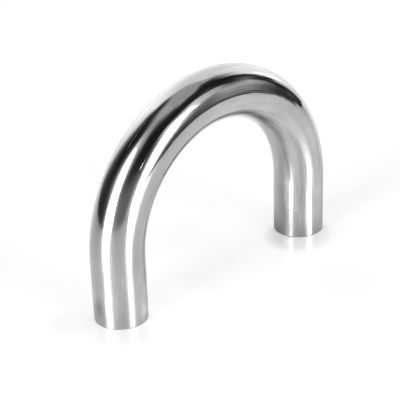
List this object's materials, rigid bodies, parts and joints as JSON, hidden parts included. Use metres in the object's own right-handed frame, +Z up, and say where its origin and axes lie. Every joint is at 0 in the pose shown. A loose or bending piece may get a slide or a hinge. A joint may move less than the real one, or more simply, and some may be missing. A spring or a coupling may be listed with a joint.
{
  "type": "return bend",
  "caption": "Polished stainless steel return bend: round pipe turned through a half circle, with a short straight leg and an open square-cut weld end on each side.",
  "frame": {"origin": "midway between the two legs' axes, on the plane of the cut ends", "axes": "+X from one leg to the other, +Y across the plane of the bend, +Z up from the cut ends to the crown"},
  "size_m": [0.2454, 0.0422, 0.1735],
  "materials": {
    "polished_steel": "stainless steel, mirror polished outside, with fine buffing lines along the pipe"
  },
  "bodies": {
    "root": {"bent_pipe": "polished_steel"}
  },
  "joints": []
}
